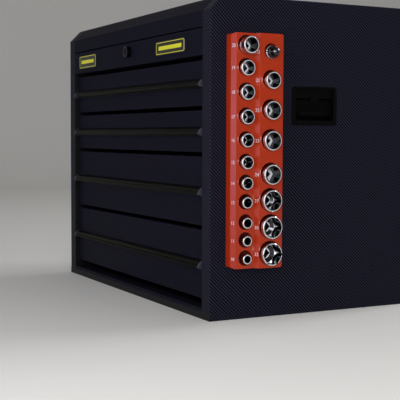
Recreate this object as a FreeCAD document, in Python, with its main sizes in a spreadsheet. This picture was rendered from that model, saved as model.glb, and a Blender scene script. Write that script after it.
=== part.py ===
"""Drawer top chest with a magnetic socket tray on its right side.

Millimetres.  The origin is the middle of the underside, +Z is up, the drawers open
towards -Y, and the socket tray hangs on the +X side.
"""
import FreeCAD, Part
import Sketcher
import os
import re
from FreeCAD import Rotation, Vector

doc = FreeCAD.newDocument("DrawerChest")

# ---------------------------------------------------------------------------
# Driving sizes
# ---------------------------------------------------------------------------
SIZES = [
    # case
    ("case_width", 675, "overall width over the two side skins"),
    ("case_depth", 410, "front column face to back skin"),
    ("sheet", 1.2, "steel sheet of the case"),
    ("bend", 1.8, "outer radius of a folded steel edge"),
    ("column_width", 29, "front column, and thickness of the double side wall"),
    ("chamfer", 23.5, "leg of the 45 degree bevel along the top front edge"),
    ("rail_height", 18.7, "bottom rail, underside to top"),
    ("rail_depth", 28, "bottom rail, front to back"),
    ("lip_height", 12.1, "front lip of the floor panel"),
    ("lip_gap", 0.3, "gap round the floor panel's front lip"),
    ("header_height", 46, "lock rail above the drawers"),
    ("header_flange", 16, "folded edges of the lock rail"),
    ("lid_seam", 1.6, "gap between lock rail and lid"),
    ("lid_height", 50.1, "lid, lower edge to top"),
    ("lid_gap", 1.5, "gap between the lid and each side cheek"),
    # drawers
    ("drawer_gap", 6.9, "gap between drawer faces"),
    ("rail_gap", 13.7, "gap between the bottom rail and the lowest drawer"),
    ("face_1", 77.6, "height of the top drawer's face"),
    ("face_2", 71.8, "height of the second drawer's face"),
    ("face_3", 118.4, "height of the third drawer's face"),
    ("face_4", 118, "height of the lowest drawer's face"),
    ("face_setback", 8, "drawer faces sit this far behind the columns"),
    ("face_thick", 12, "folded depth of a drawer face"),
    ("face_gap", 1.4, "gap between a drawer face and each column"),
    ("drawer_sheet", 1, "steel sheet of a drawer"),
    ("drawer_bend", 1.6, "outer radius of a drawer face's folded edges"),
    ("drawer_depth", 352, "drawer box behind its face"),
    ("box_below", 5, "drawer box bottom above the face's lower edge"),
    ("box_above", 9, "drawer box rim below the face's upper edge"),
    ("hem", 6, "folded rim of a drawer box"),
    # full-width pulls
    ("pull_height", 15.5, "height of a pull"),
    ("pull_depth", 12, "how far a pull stands off its drawer face"),
    ("pull_wall", 2.2, "wall of the pull extrusion"),
    ("pull_bow", 16, "radius of the pull's outer curve"),
    ("pull_lip", 4.6, "the pull's front lip below mid-height"),
    ("pull_end", 3.5, "distance of a pull's end from the drawer face's end"),
    ("cap_thick", 5, "plastic end cap of a pull"),
    ("cap_rim", 0.4, "the cap stands this far over the extrusion"),
    ("cap_bow", 26, "radius of the cap's underside"),
    ("pull_brow", 9.26, "the pull's face at its groove stands this far off the drawer face"),
    ("groove_high", 1.6, "upper edge of the pull's groove above mid-height"),
    ("groove_wide", 2.6, "width of the pull's groove"),
    ("groove_deep", 1, "depth of the pull's groove"),
    ("groove_step", 1.54, "the pull's face below the groove stands this much further off"),
    ("pull_root", 2.7, "thickness of the bowed shell where it meets the back plate"),
    # telescopic slides
    ("slide_space", 12.7, "space for a slide between the side liner and the drawer"),
    ("slide_height", 45, "outer slide member"),
    ("slide_steel", 1.2, "steel of the slide members"),
    ("slide_run", 0.3, "running gap between slide members"),
    ("slide_length", 350, "each slide member"),
    # lid hinge
    ("knuckle", 2.6, "outer radius of the piano hinge's knuckles"),
    ("hinge_pin", 1.1, "radius of the hinge pin"),
    ("pin_play", 0.06, "radial play of a hinge pin"),
    ("leaf", 22, "width of a hinge leaf"),
    ("leaf_steel", 1, "thickness of a hinge leaf"),
    ("knuckle_gap", 0.5, "gap between neighbouring knuckles"),
    ("hinge_room", 3.6, "sheet edges stay this far from the hinge axis"),
    ("hinge_inset", 6, "distance of the hinge's ends from the lid opening's ends"),
    ("hinge_reach", 13, "depth of the lid's cut-out for the hinge"),
    ("hinge_back", 0.6, "the knuckles sit this far inside the back skin"),
    # lock
    ("lock_radius", 10.5, "collar of the lock"),
    ("lock_proud", 9.5, "the lock stands this far off the lock rail"),
    ("lock_core", 8, "radius of the turning barrel"),
    ("lock_play", 0.08, "radial play of the barrel"),
    ("lock_height", 27.5, "lock axis above the lock rail's lower edge"),
    ("lock_tail", 18, "barrel behind the lock rail's skin"),
    ("lock_wall", 1.8, "wall of the collar's neck through the lock rail"),
    ("cam_length", 15.5, "locking cam, axis to tip"),
    ("key_width", 2, "key slot"),
    # side handles
    ("bezel_long", 93, "bezel of a side handle, front to back"),
    ("bezel_tall", 67.6, "bezel of a side handle, bottom to top"),
    ("bezel_low", 329.4, "lower edge of the bezel above the underside"),
    ("bezel_side", 7.5, "bezel beside the recess"),
    ("bezel_top", 3, "bezel over the recess"),
    ("bezel_sill", 8.2, "bezel under the recess"),
    ("bezel_proud", 2.2, "the bezel stands this far off the side skin"),
    ("bezel_round", 5, "corner radius of the bezel"),
    ("bezel_soft", 1, "rounding of the bezel's outer edge"),
    ("pan_depth", 23, "recess, side skin to pan floor"),
    ("pan_wall", 1.6, "plastic wall of the recess"),
    ("hood_tall", 17.8, "fixed hood over the grip"),
    ("hood_back", 2, "the hood's face sits this far behind the side skin"),
    ("grip_tall", 28.1, "folding grip, top to lower edge"),
    ("grip_thick", 5, "plate of the grip"),
    ("grip_bead", 4, "radius of the grip's rolled lower edge"),
    ("grip_round", 9, "corner radius of the grip"),
    ("grip_gap", 3, "gap between the grip and the recess's ends"),
    ("grip_top_gap", 2.5, "gap between the hood and the grip"),
    ("tab_width", 17, "tab that hangs from the hood over the grip's upper edge"),
    ("tab_drop", 4, "length of the tab below the hood"),
    ("tab_rise", 3, "length of the tab's root on the hood"),
    ("tab_proud", 1.8, "the tab stands this far off the hood's face"),
    ("pivot_radius", 2.4, "pivot pins of the grip"),
    ("pivot_drop", 4.5, "pivot axis below the grip's top"),
    # socket tray
    ("tray_front", 29.8, "tray edge behind the column face"),
    ("tray_low", 90, "tray's lower end above the underside"),
    ("tray_round", 4.5, "corner radius of the tray"),
    ("wall_rise", 15, "straight side wall below the label face"),
    ("deck_low", 27, "lower deck above the side skin"),
    ("deck_high", 35.5, "upper deck above the side skin"),
    ("label_run", 3.8, "width of the front label face"),
    ("ramp_run", 4.9, "width of the middle label face"),
    ("land_front", 2.5, "deck between the front label face and the holes"),
    ("land_ramp", 0.9, "deck between the small holes and the middle label face"),
    ("land_high", 0.2, "deck between the middle label face and the large holes"),
    ("land_back", 2.9, "deck behind the large holes"),
    ("end_small", 4.75, "deck below the lowest small hole"),
    ("end_large", 4.1, "deck below the lowest large hole"),
    ("base_plate", 2, "steel plate under the magnets' pull"),
    ("base_rim", 3, "tray rim round the base plate"),
    # sockets
    ("seat_play", 1.8, "radial play of a socket in its hole"),
    ("seat_gap", 0.3, "gap between a socket and what it rests on"),
    ("drive_end", 22.5, "least diameter of a socket's drive end"),
    ("drive_square", 12.8, "square drive hole across its flats"),
    ("drive_short", 13, "depth of the square drive hole in the smaller sockets"),
    ("drive_long", 18, "depth of the square drive hole in the larger sockets"),
    ("hex_deep", 22, "depth of the hexagon where a cone leads on to the square hole"),
    ("cone_from", 25, "hexagons wider than this have that cone, the others a flat floor"),
    ("short_socket", 33.2, "length of the smaller sockets"),
    ("long_socket", 43.2, "length of the larger sockets"),
    ("drive_share", 16, "length of the thicker drive end"),
    ("shoulder", 2.5, "length of the cone between drive end and nose"),
    ("mouth_bevel", 0.9, "bevels at a socket's two ends"),
    ("hex_room", 0.3, "a hexagon is this much wider than its nut"),
    ("hex_lead", 1.4, "bevel that leads the nut into the hexagon"),
    ("adapter_neck", 9.5, "radius of the adapter's neck"),
    ("adapter_tip", 6.2, "radius of the adapter's tip"),
    ("adapter_ring", 43.2, "the adapter's neck ends at this length"),
    ("adapter_length", 53.2, "whole length of the adapter"),
    ("adapter_dimple", 2.4, "radius of the dimple in the adapter's tip"),
]

# Each socket: nominal hexagon, outer diameter at the mouth, and the deck left above
# its hole.  Both columns are listed from the lower end of the tray upwards.
SMALL = [
    ("10", 16.6, 4.3), ("11", 17.4, 3.8), ("12", 18.4, 7.8), ("13", 19.4, 6), ("14", 21, 8.4),
    ("15", 22.5, 10), ("16", 23.6, 10.7), ("17", 24.8, 11.6), ("18", 25.8, 10.5),
    ("19", 26, 5.9), ("20", 28.2, 3.3),
]
LARGE = [
    ("32", 38, 3.5), ("30", 37.8, 4), ("27", 36.2, 5.4), ("24", 33.4, 19.7), ("23", 32.4, 15.2),
    ("22", 30.8, 16.4), ("21", 28.2, 17.6),
]
for nut, mouth, web in SMALL + LARGE:
    SIZES.append((f"hex_{nut}", int(nut), f"nut that socket {nut} takes"))
    SIZES.append((f"mouth_{nut}", mouth, f"outer diameter of socket {nut}"))
    SIZES.append((f"web_{nut}", web, f"deck above the hole of socket {nut}"))

sheet = doc.addObject("Spreadsheet::Sheet", "Sizes")
for row, (alias, size, meaning) in enumerate(SIZES, start=1):
    sheet.set(f"A{row}", alias)
    sheet.set(f"B{row}", str(size))
    sheet.set(f"C{row}", meaning)
    sheet.setAlias(f"B{row}", alias)
doc.recompute()

# Places that follow from the driving sizes.
DERIVED = {
    "half_width": "case_width / 2",
    "front": "-case_depth / 2",
    "back": "case_depth / 2",
    "opening": "half_width - column_width",
    "low_4": "rail_height + rail_gap",
    "low_3": "low_4 + face_4 + drawer_gap",
    "low_2": "low_3 + face_3 + drawer_gap",
    "low_1": "low_2 + face_2 + drawer_gap",
    "header_low": "low_1 + face_1 + drawer_gap",
    "header_top": "header_low + header_height",
    "lid_low": "header_top + lid_seam",
    "case_height": "lid_low + lid_height",
    "face_front": "front + face_setback",
    "box_front": "face_front + face_thick",
    "box_half": "opening - slide_space",
    "face_half": "opening - face_gap",
    "pull_half": "face_half - pull_end",
    "hinge_y": "back - knuckle - hinge_back",
    "hinge_z": "lid_low",
    "lock_z": "header_low + lock_height",
    "recess_low": "bezel_low + bezel_sill",
    "recess_top": "bezel_low + bezel_tall - bezel_top",
    "recess_half": "bezel_long / 2 - bezel_side",
    "grip_top": "recess_top - hood_tall - grip_top_gap",
    "grip_half": "recess_half - grip_gap",
    "pivot_z": "grip_top - pivot_drop",
    "pivot_x": "half_width - hood_back - grip_thick / 2",
    "small_hole": "mouth_20 / 2 + seat_play",
    "large_hole": "mouth_32 / 2 + seat_play",
    "small_column": "label_run + land_front + small_hole",
    "ramp_start": "small_column + small_hole + land_ramp",
    "ramp_end": "ramp_start + ramp_run",
    "large_column": "ramp_end + land_high + large_hole",
    "tray_width": "large_column + large_hole + land_back",
    "tray_y": "front + tray_front",
    "adapter_hole": "drive_end / 2 + seat_play",
}


def end_diameter(nut):
    """Diameter of a socket's drive end."""
    return f"max(mouth_{nut}; drive_end)"


def hole_radius(nut):
    return f"({end_diameter(nut)} / 2 + seat_play)"


def seat_heights(column, first_edge):
    """Height of each hole's centre above the tray's lower end, and of the deck left on top."""
    places = {}
    edge = first_edge
    for nut, mouth, web in column:
        places[nut] = f"{edge} + {hole_radius(nut)}"
        edge = f"{edge} + 2 * {hole_radius(nut)} + web_{nut}"
    return places, edge


SMALL_SEATS, tray_length = seat_heights(SMALL, "end_small")
LARGE_SEATS, adapter_edge = seat_heights(LARGE, "end_large")
DERIVED["tray_length"] = tray_length
DERIVED["adapter_seat"] = f"{adapter_edge} + adapter_hole"


def formula(text):
    """Write a formula of size names as an expression on the sheet."""
    def swap(match):
        word = match.group()
        if word in DERIVED:
            return f"({formula(DERIVED[word])})"
        if word in ALIASES:
            return f"Sizes.{word}"
        return word
    return re.sub(r"[a-z][a-z_0-9]*", swap, str(text))


ALIASES = {alias for alias, size, meaning in SIZES}


def number(text):
    """Present value of a formula."""
    return float(sheet.evalExpression(formula(text)))


# ---------------------------------------------------------------------------
# Helpers
# ---------------------------------------------------------------------------
TURN = {
    "x": Rotation(Vector(0, 1, 0), 90),
    "y": Rotation(Vector(1, 0, 0), -90),
    "z": Rotation(),
}
NODES = []


def bind(thing, prop, text):
    thing.setExpression(prop, formula(text))


def put(thing, place):
    for axis, text in zip("xyz", place):
        bind(thing, f"Placement.Base.{axis}", text)


def node(thing, label):
    """Name a finished sub-part."""
    thing.Label = label
    NODES.append(thing)
    return thing


def box(name, size, corner):
    solid = doc.addObject("Part::Box", name)
    for prop, text in zip(("Length", "Width", "Height"), size):
        bind(solid, prop, text)
    put(solid, corner)
    return solid


def block(name, x_range, y_range, z_range):
    """Box between two formulas on each axis."""
    size = [f"({high}) - ({low})" for low, high in (x_range, y_range, z_range)]
    return box(name, size, [low for low, high in (x_range, y_range, z_range)])


def rod(name, radius, length, start, along):
    solid = doc.addObject("Part::Cylinder", name)
    solid.Placement.Rotation = TURN[along]
    bind(solid, "Radius", radius)
    bind(solid, "Height", length)
    put(solid, start)
    return solid


def fuse(name, pieces):
    joined = doc.addObject("Part::MultiFuse", name)
    joined.Shapes = pieces
    joined.Refine = True
    return joined


def cut(name, base, tools):
    result = doc.addObject("Part::Cut", name)
    result.Base = base
    result.Tool = tools[0] if len(tools) == 1 else fuse(f"{name}_tools", tools)
    result.Refine = True
    return result


def group(name, pieces):
    """Separate solids kept in one object."""
    together = doc.addObject("Part::Compound", name)
    together.Links = pieces
    return together


def mirrored(name, source):
    """Left-hand copy of a right-hand piece."""
    copy = doc.addObject("Part::Mirroring", name)
    copy.Source = source
    copy.Normal = Vector(1, 0, 0)
    return copy


def new_body(name, place=("0", "0", "0"), turn="z"):
    body = doc.addObject("PartDesign::Body", name)
    body.Placement.Rotation = TURN[turn]
    put(body, place)
    return body


def new_sketch(body, name, role, level="0"):
    """Sketch on one of the body's origin planes, raised along the plane's normal."""
    sketch = body.newObject("Sketcher::SketchObject", name)
    plane = next(item for item in body.Origin.OriginFeatures if item.Role == role)
    sketch.AttachmentSupport = [(plane, "")]
    sketch.MapMode = "FlatFace"
    bind(sketch, "AttachmentOffset.Base.z", level)
    return sketch


def outline(sketch, corners, bows=None):
    """Closed anticlockwise outline.  bows gives the radius of each side that is an arc."""
    bows = bows or {}
    for index, start in enumerate(corners):
        finish = corners[(index + 1) % len(corners)]
        first = Vector(number(start[0]), number(start[1]), 0)
        second = Vector(number(finish[0]), number(finish[1]), 0)
        if index in bows:
            edge = bowed(first, second, number(bows[index]))
        else:
            edge = Part.LineSegment(first, second)
        sketch.addGeometry(edge, False)
        forward = edge.StartPoint.distanceToPoint(first) < edge.EndPoint.distanceToPoint(first)
        pin_point(sketch, index, 1 if forward else 2, start)
        pin_point(sketch, index, 2 if forward else 1, finish)
        if index in bows:
            tie(sketch, Sketcher.Constraint("Radius", index, number(bows[index])), bows[index])
    return sketch


def bowed(first, second, radius):
    """Arc that bulges to the right of the way from first to second."""
    chord = second - first
    rise = radius - (radius ** 2 - (chord.Length / 2) ** 2) ** 0.5
    outward = Vector(chord.y, -chord.x, 0).normalize()
    return Part.ArcOfCircle(first, (first + second) * 0.5 + outward * rise, second)


def tie(sketch, constraint, text):
    index = sketch.addConstraint(constraint)
    bind(sketch, f"Constraints[{index}]", text)


def pin_point(sketch, edge, end, place):
    """Tie one end of a sketch edge to a pair of formulas."""
    for kind, text in zip(("DistanceX", "DistanceY"), place):
        tie(sketch, Sketcher.Constraint(kind, -1, 1, edge, end, number(text)), text)


def rounded(sketch, low, high, radius):
    """Rectangle between two corners, with its corners rounded."""
    (left, bottom), (right, top) = low, high
    radius = f"({radius})"
    corners = [
        (f"{left} + {radius}", bottom), (f"{right} - {radius}", bottom),
        (right, f"{bottom} + {radius}"), (right, f"{top} - {radius}"),
        (f"{right} - {radius}", top), (f"{left} + {radius}", top),
        (left, f"{top} - {radius}"), (left, f"{bottom} + {radius}"),
    ]
    return outline(sketch, corners, {1: radius, 3: radius, 5: radius, 7: radius})


def circle(sketch, centre, radius):
    place = Vector(number(centre[0]), number(centre[1]), 0)
    edge = sketch.addGeometry(Part.Circle(place, Vector(0, 0, 1), number(radius)), False)
    pin_point(sketch, edge, 3, centre)
    tie(sketch, Sketcher.Constraint("Radius", edge, number(radius)), radius)


def pad(body, name, sketch, length, backwards=False):
    feature = body.newObject("PartDesign::Pad", name)
    feature.Profile = sketch
    feature.Reversed = backwards
    bind(feature, "Length", length)
    return feature


def pocket(body, name, sketch, length, backwards=False):
    feature = body.newObject("PartDesign::Pocket", name)
    feature.Profile = sketch
    feature.Reversed = backwards
    bind(feature, "Length", length)
    return feature


def through(body, name, sketch):
    """Pocket through the whole body both ways."""
    feature = body.newObject("PartDesign::Pocket", name)
    feature.Profile = sketch
    feature.Type = "ThroughAll"
    feature.Midplane = True
    return feature


def revolve(body, name, sketch):
    feature = body.newObject("PartDesign::Revolution", name)
    feature.Profile = sketch
    feature.ReferenceAxis = (sketch, ["V_Axis"])
    feature.Angle = 360
    return feature


def bend(body, name, radius, chosen):
    """Round the edges of a body whose middle passes the test chosen."""
    doc.recompute()
    tip = body.Tip
    names = [f"Edge{index}" for index, edge in enumerate(tip.Shape.Edges, start=1)
             if chosen(edge.CenterOfMass)]
    feature = body.newObject("PartDesign::Fillet", name)
    feature.Base = (tip, names)
    bind(feature, "Radius", radius)
    return feature


def level(place, text):
    """Whether a coordinate lies at a formula's value."""
    return abs(place - number(text)) < 1e-4


# ---------------------------------------------------------------------------
# Case
# ---------------------------------------------------------------------------
def side_outline(inset):
    """Side of the case with its bevelled top front corner, moved inwards by a wall."""
    slope = f"{inset} * (sqrt(2) - 1)"
    return [
        (f"front + {inset}", f"{inset}"),
        (f"back - {inset}", f"{inset}"),
        (f"back - {inset}", f"case_height - {inset}"),
        (f"front + chamfer + {slope}", f"case_height - {inset}"),
        (f"front + {inset}", f"case_height - chamfer - {slope}"),
    ]


def handle_recess(sketch):
    """Opening of a side handle's recess in the side skin."""
    wall = "pan_wall"
    low = (f"-recess_half - {wall}", f"recess_low - {wall}")
    high = (f"recess_half + {wall}", f"recess_top + {wall} / 2")
    return rounded(sketch, low, high, "bezel_round / 2")


def make_side():
    """Folded side pan: skin, front column, bevel, top, back and bottom flanges."""
    body = new_body("side_pan")
    skin = outline(new_sketch(body, "side_shape", "YZ_Plane", "opening"), side_outline("0"))
    pad(body, "side_block", skin, "column_width")
    hollow = new_sketch(body, "side_hollow", "YZ_Plane", "opening")
    outline(hollow, side_outline("sheet"))
    pocket(body, "side_inside", hollow, "column_width - sheet", True)
    bend(body, "side_bends", "bend", lambda spot: level(spot.x, "half_width"))
    window = handle_recess(new_sketch(body, "handle_window", "YZ_Plane", "half_width"))
    pocket(body, "handle_hole", window, "2 * sheet")
    relief = new_sketch(body, "lip_relief", "YZ_Plane", "half_width")
    outline(relief, [
        ("front - sheet", "-sheet"), ("front + sheet + lip_gap", "-sheet"),
        ("front + sheet + lip_gap", "lip_height + lip_gap"),
        ("front - sheet", "lip_height + lip_gap"),
    ])
    pocket(body, "lip_notch", relief, "column_width + sheet")
    return body


def make_liner():
    """Inner skin of the double side wall, set between the side pan's flanges."""
    body = new_body("liner_plate")
    plate = new_sketch(body, "liner_shape", "YZ_Plane", "opening")
    corners = side_outline("sheet")
    corners[0] = ("front + 2 * sheet + lip_gap", "sheet")
    corners.append(("front + sheet", "lip_height + 2 * lip_gap"))
    corners.append(("front + 2 * sheet + lip_gap", "lip_height + 2 * lip_gap"))
    outline(plate, corners)
    pad(body, "liner_block", plate, "sheet")
    return body


def make_floor():
    """Floor panel with the lip that shows under both columns."""
    plate = block("floor_plate", ("-opening", "opening"), ("front", "back"), ("0", "sheet"))
    lip = block("floor_lip", ("-half_width", "half_width"), ("front", "front + sheet"),
                ("0", "lip_height"))
    return fuse("floor", [plate, lip])


def make_rail():
    """Bottom rail folded to a channel that opens downwards."""
    spans = ("-opening", "opening")
    face = block("rail_face", spans, ("front", "front + sheet"), ("lip_height", "rail_height"))
    ledge = block("rail_ledge", spans, ("front", "front + rail_depth"),
                  ("rail_height - sheet", "rail_height"))
    rear = block("rail_rear", spans, ("front + rail_depth - sheet", "front + rail_depth"),
                 ("sheet", "rail_height"))
    return fuse("rail", [face, ledge, rear])


def make_header():
    """Lock rail: a channel with its flanges to the back and a hole for the lock."""
    body = new_body("header_body")
    profile = new_sketch(body, "header_profile", "YZ_Plane", "-opening")
    outline(profile, [
        ("front", "header_low"), ("front + header_flange", "header_low"),
        ("front + header_flange", "header_low + sheet"), ("front + sheet", "header_low + sheet"),
        ("front + sheet", "header_top - sheet"), ("front + header_flange", "header_top - sheet"),
        ("front + header_flange", "header_top"), ("front", "header_top"),
    ])
    pad(body, "header_channel", profile, "2 * opening")
    bend(body, "header_bends", "bend",
         lambda spot: level(spot.y, "front") and level(spot.x, "0"))
    hole = rod("header_hole", "lock_core + lock_wall", "3 * sheet",
               ("0", "front - sheet", "lock_z"), "y")
    return cut("header_rail", body, [hole])


def make_back():
    """Back skin between the side pans."""
    return block("back_skin", ("-opening", "opening"), ("back - sheet", "back"),
                 ("sheet", "hinge_z - hinge_room"))


def make_till():
    """Floor of the compartment under the lid, on the lock rail's lower flange."""
    return block("till_plate", ("-opening", "opening"), ("front + sheet", "back - sheet"),
                 ("header_low + sheet", "header_low + 2 * sheet"))


# ---------------------------------------------------------------------------
# Lid and its piano hinge
# ---------------------------------------------------------------------------
def lid_outline(inset, bottom, rear_bottom):
    slope = f"{inset} * (sqrt(2) - 1)"
    return [
        (f"front + {inset}", bottom),
        (f"back - {inset}", rear_bottom),
        (f"back - {inset}", f"case_height - {inset}"),
        (f"front + chamfer + {slope}", f"case_height - {inset}"),
        (f"front + {inset}", f"case_height - chamfer - {slope}"),
    ]


def make_lid():
    """Folded lid pan, open below, whose bevel carries on from the side cheeks."""
    body = new_body("lid_pan")
    half = "opening - lid_gap"
    shape = new_sketch(body, "lid_shape", "YZ_Plane", f"-({half})")
    outline(shape, lid_outline("0", "lid_low", "lid_low"))
    pad(body, "lid_block", shape, f"2 * ({half})")
    bend(body, "lid_bends", "bend", lambda spot: not level(spot.z, "lid_low"))
    hollow = new_sketch(body, "lid_hollow", "YZ_Plane", f"{half} - sheet")
    outline(hollow, lid_outline("sheet", "lid_low - sheet", "lid_low - sheet"))
    pocket(body, "lid_inside", hollow, f"2 * ({half} - sheet)")
    relief = new_sketch(body, "hinge_relief", "YZ_Plane", f"{half} + sheet")
    outline(relief, [
        ("back - hinge_reach", "lid_low - sheet"), ("back + sheet", "lid_low - sheet"),
        ("back + sheet", "hinge_z + hinge_room"), ("back - hinge_reach", "hinge_z + hinge_room"),
    ])
    pocket(body, "hinge_slot", relief, f"2 * ({half} + sheet)")
    return body


KNUCKLES = 7


def make_hinge():
    """Case leaf with the pin, and lid leaf, with knuckles taking turns along the pin."""
    half = "(opening - hinge_inset)"
    pitch = f"(2 * {half} / {KNUCKLES})"
    leaf_y = ("back - sheet - leaf_steel", "back - sheet")
    halves = {
        0: [block("case_leaf", (f"-{half}", half), leaf_y,
                  ("hinge_z - leaf", "hinge_z - hinge_room"))],
        1: [block("lid_leaf", (f"-{half}", half), leaf_y,
                  ("hinge_z + hinge_room", "hinge_z + leaf"))],
    }
    spans = {0: ("hinge_z - hinge_room", "hinge_z"), 1: ("hinge_z", "hinge_z + hinge_room")}
    for index in range(KNUCKLES):
        owner = index % 2
        start = f"-{half} + {index} * {pitch} + knuckle_gap / 2"
        stop = f"-{half} + {index + 1} * {pitch} - knuckle_gap / 2"
        roll = rod(f"knuckle_{index}", "knuckle", f"{pitch} - knuckle_gap",
                   (start, "hinge_y", "hinge_z"), "x")
        tab = block(f"tab_{index}", (start, stop), leaf_y, spans[owner])
        halves[owner] += [roll, tab]
    bore = rod("pin_bore", "hinge_pin + pin_play", f"2 * {half} + knuckle",
               (f"-{half} - knuckle / 2", "hinge_y", "hinge_z"), "x")
    pin = rod("pin_rod", "hinge_pin", f"2 * {half}", (f"-{half}", "hinge_y", "hinge_z"), "x")
    case_leaf = fuse("case_half", halves[0] + [pin])
    lid_leaf = cut("lid_half", fuse("lid_knuckles", halves[1]), [bore])
    return case_leaf, lid_leaf


# ---------------------------------------------------------------------------
# Lock
# ---------------------------------------------------------------------------
def make_lock():
    """Collar fixed in the lock rail, and the barrel with its key slot, tail and cam."""
    proud = "front - lock_proud"
    collar = cut("collar_ring", fuse("collar_outer", [
        rod("collar_front", "lock_radius", "lock_proud", ("0", proud, "lock_z"), "y"),
        rod("collar_neck", "lock_core + lock_wall", "4 * sheet", ("0", "front", "lock_z"), "y"),
    ]), [rod("collar_bore", "lock_core + lock_play", "lock_proud + 6 * sheet",
             ("0", f"{proud} - sheet", "lock_z"), "y")])
    core = rod("barrel_core", "lock_core", "lock_proud + lock_tail",
               ("0", f"{proud} - lip_gap", "lock_z"), "y")
    cam_y = ("front + lock_tail - 2 * sheet", "front + lock_tail")
    cam = block("barrel_cam", ("-lock_core / 2", "lock_core / 2"), cam_y,
                ("lock_z", "lock_z + cam_length"))
    slot = block("key_slot", ("-key_width / 2", "key_width / 2"),
                 (f"{proud} - sheet", f"{proud} + lock_proud / 2"),
                 ("lock_z - lock_core / 2", "lock_z + lock_core / 2"))
    barrel = cut("barrel", fuse("barrel_solid", [core, cam]), [slot])
    return collar, barrel


# ---------------------------------------------------------------------------
# Side handles
# ---------------------------------------------------------------------------
def make_handle_pan():
    """Moulded recess with its bezel, and the hood over the folding grip."""
    body = new_body("handle_pan")
    bezel = new_sketch(body, "bezel_shape", "YZ_Plane", "half_width")
    rounded(bezel, ("-bezel_long / 2", "bezel_low"), ("bezel_long / 2", "bezel_low + bezel_tall"),
            "bezel_round")
    pad(body, "bezel", bezel, "bezel_proud")
    bend(body, "bezel_edge", "bezel_soft",
         lambda spot: level(spot.x, "half_width + bezel_proud"))
    wall = "(pan_wall - lip_gap)"
    tub = new_sketch(body, "tub_shape", "YZ_Plane", "half_width")
    rounded(tub, (f"-recess_half - {wall}", f"recess_low - {wall}"),
            (f"recess_half + {wall}", f"recess_top + {wall} / 2"), "bezel_round / 2")
    pad(body, "tub", tub, "pan_depth", True)
    inside = new_sketch(body, "recess_shape", "YZ_Plane", "half_width + bezel_proud")
    rounded(inside, ("-recess_half", "recess_low"), ("recess_half", "recess_top"),
            "bezel_round / 2")
    pocket(body, "recess", inside, "pan_depth + bezel_proud - pan_wall")
    hood = new_sketch(body, "hood_shape", "YZ_Plane", "half_width - pan_depth + pan_wall / 2")
    outline(hood, [
        ("-recess_half - pan_wall / 4", "recess_top - hood_tall"),
        ("recess_half + pan_wall / 4", "recess_top - hood_tall"),
        ("recess_half + pan_wall / 4", "recess_top + pan_wall / 4"),
        ("-recess_half - pan_wall / 4", "recess_top + pan_wall / 4"),
    ])
    pad(body, "hood", hood, "pan_depth - pan_wall / 2 - hood_back")
    bore = rod("pivot_bore", "pivot_radius + lock_play", "2 * (recess_half + pan_wall / 2)",
               ("pivot_x", "-recess_half - pan_wall / 2", "pivot_z"), "y")
    face = "half_width - hood_back"
    across = ("-tab_width / 2", "tab_width / 2")
    root = block("tab_root", (f"{face} - lip_gap", f"{face} + tab_proud"), across,
                 ("recess_top - hood_tall", "recess_top - hood_tall + tab_rise"))
    tip = block("tab_tip", (f"{face} + lip_gap", f"{face} + tab_proud"), across,
                ("recess_top - hood_tall - tab_drop", "recess_top - hood_tall"))
    return cut("handle_tub", fuse("tub_and_tab", [body, root, tip]), [bore])


def make_grip():
    """Folding grip: a plate with rounded lower corners, a rolled edge and two pivots."""
    body = new_body("grip_plate")
    plate = new_sketch(body, "grip_shape", "YZ_Plane", "pivot_x - grip_thick / 2")
    low = "grip_top - grip_tall"
    outline(plate, [
        ("-grip_half + grip_round", low), ("grip_half - grip_round", low),
        ("grip_half", f"{low} + grip_round"), ("grip_half", "grip_top"),
        ("-grip_half", "grip_top"), ("-grip_half", f"{low} + grip_round"),
    ], {1: "grip_round", 5: "grip_round"})
    pad(body, "grip_block", plate, "grip_thick")
    bead = rod("grip_roll", "grip_bead", "2 * (grip_half - grip_round)",
               ("pivot_x - grip_thick / 2 + grip_bead / 2", "-grip_half + grip_round",
                "grip_top - grip_tall + grip_bead"), "y")
    pins = rod("grip_pins", "pivot_radius", "2 * (recess_half + pan_wall / 2 - lip_gap)",
               ("pivot_x", "-recess_half - pan_wall / 2 + lip_gap", "pivot_z"), "y")
    return fuse("grip_solid", [body, bead, pins])


# ---------------------------------------------------------------------------
# Drawers
# ---------------------------------------------------------------------------
def make_drawer(index):
    """Drawer box with a folded rim, behind a folded face."""
    low = f"low_{index}"
    top = f"low_{index} + face_{index}"
    floor = f"{low} + box_below"
    rim = f"{top} - box_above"
    rear = "box_front + drawer_depth"
    steel = "drawer_sheet"
    face = new_body(f"face_body_{index}")
    panel = new_sketch(face, f"face_shape_{index}", "XZ_Plane", "-box_front")
    outline(panel, [("-face_half", low), ("face_half", low), ("face_half", top),
                    ("-face_half", top)])
    pad(face, f"face_block_{index}", panel, "face_thick")
    bend(face, f"face_bends_{index}", "drawer_bend", lambda spot: level(spot.y, "face_front"))
    shell = block(f"box_block_{index}", ("-box_half", "box_half"),
                  (f"box_front - {steel}", rear), (floor, rim))
    behind = block(f"face_hollow_{index}", (f"-face_half + {steel}", f"face_half - {steel}"),
                   (f"face_front + {steel}", "box_front"), (f"{low} + {steel}", f"{top} - {steel}"))
    inside = block(f"box_hollow_{index}", (f"-box_half + {steel}", f"box_half - {steel}"),
                   ("box_front", f"{rear} - {steel}"), (f"{floor} + {steel}", f"{rim} - {steel}"))
    mouth = block(f"box_mouth_{index}", ("-box_half + hem", "box_half - hem"),
                  ("box_front + hem", f"{rear} - hem"), (f"{floor} + hem", f"{rim} + {steel}"))
    front = cut(f"face_{index}", face, [behind])
    joined = fuse(f"drawer_solid_{index}", [front, shell])
    return cut(f"drawer_tub_{index}", joined, [inside, mouth])


def pull_height_of(index):
    return f"(low_{index} + face_{index} / 2)"


PULL_TOP = "pull_height / 2"
PULL_BOTTOM = "-pull_height / 2"


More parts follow.
